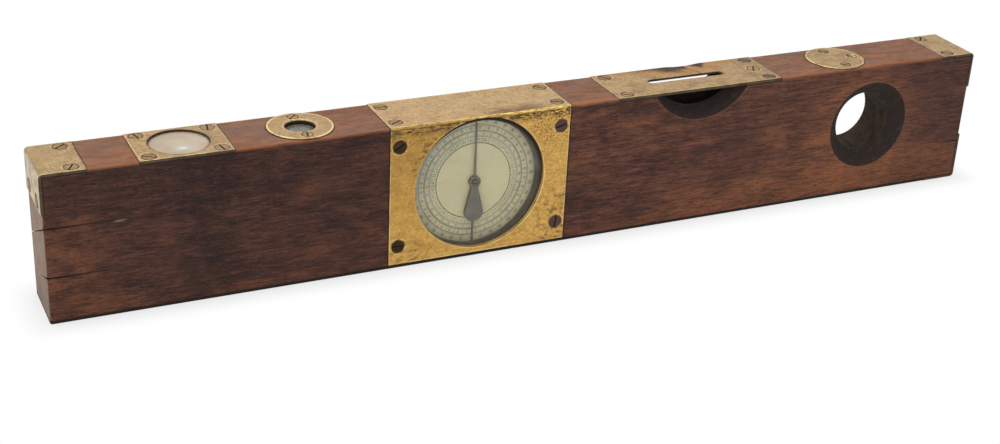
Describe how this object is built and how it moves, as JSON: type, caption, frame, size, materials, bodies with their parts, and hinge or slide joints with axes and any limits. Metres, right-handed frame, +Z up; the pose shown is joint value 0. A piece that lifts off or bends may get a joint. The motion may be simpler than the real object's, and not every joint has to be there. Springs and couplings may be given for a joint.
{
  "type": "combined spirit level and grade finder",
  "caption": "Hardwood spirit level with brass tips and plates, top compass, bull's-eye level, slotted vial plate over a half-moon notch, side pendulum dial and dished plumb opening.",
  "frame": {"origin": "middle of the flat resting face under the bar, halfway along it and halfway between the dial side and the back", "axes": "+X along the bar from the compass end to the plumb end, +Y from the dial side to the plain back, +Z up"},
  "size_m": [0.6096, 0.0392, 0.0899],
  "materials": {
    "hardwood": "worn oiled hardwood",
    "brass": "dull aged brass",
    "screw_brass": "tarnished",
    "dark_brass": "darkened",
    "dark_screw": "darkened steel",
    "steel": "dull grey steel",
    "blued_steel": "blued",
    "printed_card": "aged paper",
    "clear_glass": "clear",
    "aged_glass": "hazed with age",
    "spirit": "clear liquid"
  },
  "bodies": {
    "level": {"level_body": "hardwood", "tip_top_left": "brass", "tip_top_right": "brass", "tip_bottom_right": "brass", "tip_top_left_screws": "screw_brass", "tip_top_right_screws": "screw_brass", "tip_bottom_right_screws": "screw_brass", "compass_plate": "brass", "compass_plate_screws": "screw_brass", "compass_bowl": "brass", "compass_card": "printed_card", "compass_pin": "steel", "compass_glass": "aged_glass", "bullseye_ring": "brass", "bullseye_screws": "screw_brass", "bullseye_cup": "dark_brass", "bullseye_glass": "clear_glass", "bullseye_spirit": "spirit", "dial_top_plate": "brass", "dial_top_screws": "screw_brass", "dial_front_plate": "brass", "dial_front_screws": "dark_screw", "dial_case": "dark_brass", "dial_glass": "clear_glass", "dial_card": "printed_card", "pendulum_pivot": "steel", "vial_plate": "brass", "vial_plate_screws": "screw_brass", "vial_adjusting_screw": "screw_brass", "plumb_cover": "brass", "plumb_cover_screws": "screw_brass", "plumb_adjusting_screw": "screw_brass"},
    "needle": {"compass_needle": "blued_steel"},
    "pendulum": {"pendulum_pointer": "steel"}
  },
  "joints": [
    {"name": "pendulum_swing", "type": "hinge", "parent": "level", "child": "pendulum", "pos_m": [-0.05129, -0.0113, 0.04473], "axis": [0, 1, 0], "continuous": true},
    {"name": "needle_turn", "type": "hinge", "parent": "level", "child": "needle", "pos_m": [-0.22511, 0, 0.08185], "axis": [0, 0, 1], "continuous": true}
  ]
}
